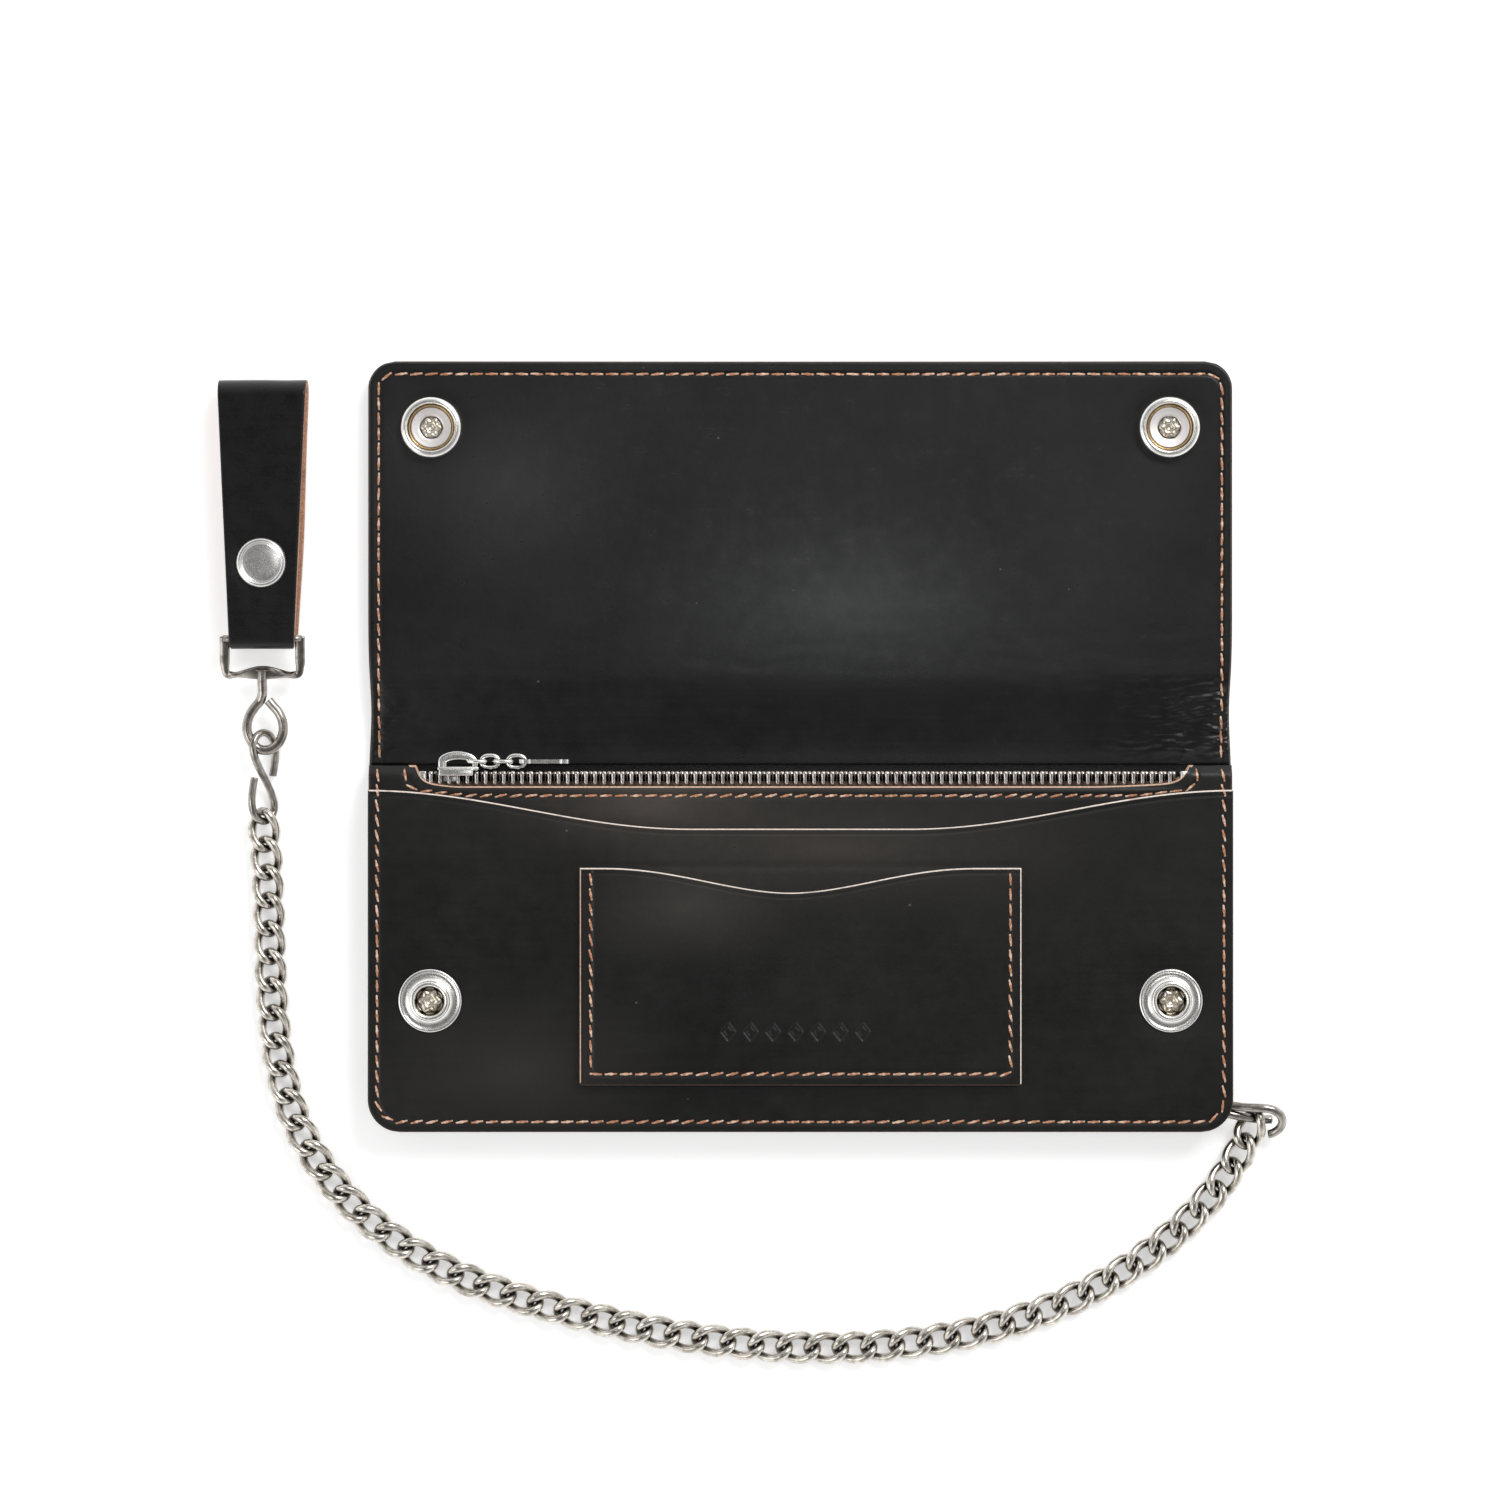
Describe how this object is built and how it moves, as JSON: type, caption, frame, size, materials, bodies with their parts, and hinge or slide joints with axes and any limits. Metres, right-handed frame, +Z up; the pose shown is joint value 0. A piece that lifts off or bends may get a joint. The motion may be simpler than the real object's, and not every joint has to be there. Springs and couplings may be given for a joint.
{
  "type": "chain wallet",
  "caption": "Long bifold wallet with a zip coin pocket, slip and card pockets, press-stud flap, and a curb chain with swivel and belt strap.",
  "frame": {"origin": "on the fold line between body and flap, half way across the wallet, at table level", "axes": "+X across the wallet to the right, +Y from the fold towards the free edge of the flap, +Z up from the table"},
  "size_m": [0.2342, 0.2207, 0.0122],
  "materials": {
    "black_leather": "smooth, soft sheen",
    "lining_leather": "smooth, soft sheen, tan raw edges",
    "tan_leather": "flesh side, matt",
    "stitching": "waxed thread",
    "zip_tape": "woven tape",
    "nickel": "polished nickel plate",
    "snap_brass": "nickel plate with a brass tint",
    "spring_steel": "drawn wire",
    "chain_metal": "antique nickel plate, dark in its recesses"
  },
  "bodies": {
    "wallet": {"shell_back": "black_leather", "zip_pocket": "lining_leather", "front_panel": "lining_leather", "card_pocket": "lining_leather", "thread_body": "stitching", "thread_zip": "stitching", "thread_card_pocket": "stitching", "zipper_tape_front": "zip_tape", "zipper_tape_back": "zip_tape", "zipper_teeth_front": "nickel", "zipper_teeth_back": "nickel", "zipper_stops": "nickel", "body_snap_studs": "nickel", "body_snap_posts": "nickel", "anchor_rivet": "nickel", "anchor_rivet_cap": "nickel"},
    "spine": {"shell_spine": "black_leather", "spine_lining": "lining_leather"},
    "flap": {"shell_flap": "black_leather", "flap_lining": "lining_leather", "thread_flap": "stitching", "flap_snap_caps": "nickel", "flap_snap_sockets": "snap_brass", "flap_snap_springs": "spring_steel"},
    "zip_slider": {"zipper_slider": "nickel"},
    "pull_link_1": {"pull_link_1": "nickel"},
    "pull_link_2": {"pull_link_2": "nickel"},
    "pull_link_3": {"pull_link_3": "nickel"},
    "pull_link_4": {"pull_link_4": "nickel"},
    "pull_tab": {"pull_tab": "nickel"},
    "wallet_hook": {"s_hook_wallet": "nickel"},
    "chain_17": {"chain_segment_17": "chain_metal"},
    "chain_16": {"chain_segment_16": "chain_metal"},
    "chain_15": {"chain_segment_15": "chain_metal"},
    "chain_14": {"chain_segment_14": "chain_metal"},
    "chain_13": {"chain_segment_13": "chain_metal"},
    "chain_12": {"chain_segment_12": "chain_metal"},
    "chain_11": {"chain_segment_11": "chain_metal"},
    "chain_10": {"chain_segment_10": "chain_metal"},
    "chain_09": {"chain_segment_09": "chain_metal"},
    "chain_08": {"chain_segment_08": "chain_metal"},
    "chain_07": {"chain_segment_07": "chain_metal"},
    "chain_06": {"chain_segment_06": "chain_metal"},
    "chain_05": {"chain_segment_05": "chain_metal"},
    "chain_04": {"chain_segment_04": "chain_metal"},
    "chain_03": {"chain_segment_03": "chain_metal"},
    "chain_02": {"chain_segment_02": "chain_metal"},
    "chain_01": {"chain_segment_01": "chain_metal"},
    "strap_hook": {"s_hook_strap": "nickel"},
    "swivel_eye": {"swivel_eye": "nickel"},
    "swivel_frame": {"swivel_frame": "nickel"},
    "strap_front": {"belt_strap_front": "black_leather", "strap_snap_cap": "nickel", "strap_snap_socket": "nickel"},
    "strap_rear": {"belt_strap_rear": "tan_leather", "strap_snap_stud": "nickel", "strap_snap_post": "nickel"}
  },
  "joints": [
    {"name": "body_fold", "type": "hinge", "parent": "wallet", "child": "spine", "pos_m": [0, -0.00365, 0.0052], "axis": [1, 0, 0], "range_deg": [0, 90]},
    {"name": "flap_fold", "type": "hinge", "parent": "spine", "child": "flap", "pos_m": [0, 0.00365, 0.0052], "axis": [1, 0, 0], "range_deg": [0, 90]},
    {"name": "zip_travel", "type": "slide", "parent": "wallet", "child": "zip_slider", "axis": [1, 0, 0], "range_m": [0, 0.142]},
    {"name": "pull_swing_1", "type": "hinge", "parent": "zip_slider", "child": "pull_link_1", "pos_m": [-0.0715, -0.0105, 0.005], "axis": [0, 1, 0], "range_deg": [-20, 0]},
    {"name": "pull_swing_2", "type": "hinge", "parent": "pull_link_1", "child": "pull_link_2", "pos_m": [-0.06905, -0.0105, 0.005], "axis": [0, 0, 1], "range_deg": [0, 8]},
    {"name": "pull_swing_3", "type": "hinge", "parent": "pull_link_2", "child": "pull_link_3", "pos_m": [-0.06615, -0.0105, 0.005], "axis": [0, 1, 0], "range_deg": [-20, 0]},
    {"name": "pull_swing_4", "type": "hinge", "parent": "pull_link_3", "child": "pull_link_4", "pos_m": [-0.06325, -0.0105, 0.005], "axis": [0, 0, 1], "range_deg": [0, 8]},
    {"name": "pull_swing_5", "type": "hinge", "parent": "pull_link_4", "child": "pull_tab", "pos_m": [-0.06035, -0.0105, 0.005], "axis": [0, 1, 0], "range_deg": [-20, 0]},
    {"name": "wallet_hook_turn", "type": "hinge", "parent": "wallet", "child": "wallet_hook", "pos_m": [0.0842, -0.0848, 0.005], "axis": [0, 0, 1], "range_deg": [-2, 8]},
    {"name": "chain_joint_17", "type": "hinge", "parent": "wallet_hook", "child": "chain_17", "pos_m": [0.09996, -0.08907, 0.0033], "axis": [0.9399, -0.1215, -0.3191], "range_deg": [-10, 10]},
    {"name": "chain_joint_16", "type": "hinge", "parent": "chain_17", "child": "chain_16", "pos_m": [0.09177, -0.10462, 0.00226], "axis": [0, 0, 1], "range_deg": [0, 12]},
    {"name": "chain_joint_15", "type": "hinge", "parent": "chain_16", "child": "chain_15", "pos_m": [0.07859, -0.11767, 0.00218], "axis": [0.6124, -0.7906, 0], "range_deg": [-15, 15]},
    {"name": "chain_joint_14", "type": "hinge", "parent": "chain_15", "child": "chain_14", "pos_m": [0.06283, -0.12749, 0.00224], "axis": [0, 0, 1], "range_deg": [0, 12]},
    {"name": "chain_joint_13", "type": "hinge", "parent": "chain_14", "child": "chain_13", "pos_m": [0.04553, -0.13426, 0.00221], "axis": [-0.2854, 0.9584, 0], "range_deg": [-15, 15]},
    {"name": "chain_joint_12", "type": "hinge", "parent": "chain_13", "child": "chain_12", "pos_m": [0.02737, -0.13818, 0.00219], "axis": [0, 0, 1], "range_deg": [0, 12]},
    {"name": "chain_joint_11", "type": "hinge", "parent": "chain_12", "child": "chain_11", "pos_m": [0.00884, -0.1396, 0.00219], "axis": [0.0178, -0.9998, 0], "range_deg": [-15, 15]},
    {"name": "chain_joint_10", "type": "hinge", "parent": "chain_11", "child": "chain_10", "pos_m": [-0.00974, -0.13896, 0.0022], "axis": [0, 0, 1], "range_deg": [0, 12]},
    {"name": "chain_joint_09", "type": "hinge", "parent": "chain_10", "child": "chain_09", "pos_m": [-0.02819, -0.13661, 0.0022], "axis": [0.1664, 0.9861, 0], "range_deg": [-15, 15]},
    {"name": "chain_joint_08", "type": "hinge", "parent": "chain_09", "child": "chain_08", "pos_m": [-0.0464, -0.13286, 0.0022], "axis": [0, 0, 1], "range_deg": [0, 12]},
    {"name": "chain_joint_07", "type": "hinge", "parent": "chain_08", "child": "chain_07", "pos_m": [-0.06432, -0.12789, 0.0022], "axis": [-0.3144, -0.9493, 0], "range_deg": [-15, 15]},
    {"name": "chain_joint_06", "type": "hinge", "parent": "chain_07", "child": "chain_06", "pos_m": [-0.08145, -0.12072, 0.00219], "axis": [0, 0, 1], "range_deg": [0, 12]},
    {"name": "chain_joint_05", "type": "hinge", "parent": "chain_06", "child": "chain_05", "pos_m": [-0.09659, -0.11, 0.00221], "axis": [0.6815, 0.7318, 0], "range_deg": [-15, 15]},
    {"name": "chain_joint_04", "type": "hinge", "parent": "chain_05", "child": "chain_04", "pos_m": [-0.10817, -0.09553, 0.00221], "axis": [0, 0, 1], "range_deg": [0, 12]},
    {"name": "chain_joint_03", "type": "hinge", "parent": "chain_04", "child": "chain_03", "pos_m": [-0.11442, -0.0781, 0.00215], "axis": [-0.9802, -0.198, 0], "range_deg": [-15, 15]},
    {"name": "chain_joint_02", "type": "hinge", "parent": "chain_03", "child": "chain_02", "pos_m": [-0.11642, -0.05963, 0.00217], "axis": [0, 0, 1], "range_deg": [0, 12]},
    {"name": "chain_joint_01", "type": "hinge", "parent": "chain_02", "child": "chain_01", "pos_m": [-0.11702, -0.04104, 0.00242], "axis": [0.9994, 0.0345, 0], "range_deg": [-15, 15]},
    {"name": "strap_hook_swing", "type": "hinge", "parent": "chain_01", "child": "strap_hook", "pos_m": [-0.118, -0.02365, 0.0033], "axis": [1, 0, 0], "range_deg": [-15, 15]},
    {"name": "eye_swing", "type": "hinge", "parent": "strap_hook", "child": "swivel_eye", "pos_m": [-0.118, -0.00751, 0.00309], "axis": [1, 0, 0], "range_deg": [-15, 15]},
    {"name": "swivel_turn", "type": "hinge", "parent": "swivel_eye", "child": "swivel_frame", "pos_m": [-0.118, 0.0164, 0.00645], "axis": [0, 0.9903, 0.1392], "continuous": true},
    {"name": "strap_swing", "type": "hinge", "parent": "swivel_frame", "child": "strap_front", "pos_m": [-0.118, 0.0164, 0.00645], "axis": [1, 0, 0], "range_deg": [-25, 25]},
    {"name": "strap_opening", "type": "hinge", "parent": "strap_front", "child": "strap_rear", "pos_m": [-0.118, 0.0693, 0.0047], "axis": [1, 0, 0], "range_deg": [0, 85]}
  ],
  "couplings": [
    {"joint": "flap_fold", "follows": "body_fold", "ratio": 1}
  ]
}
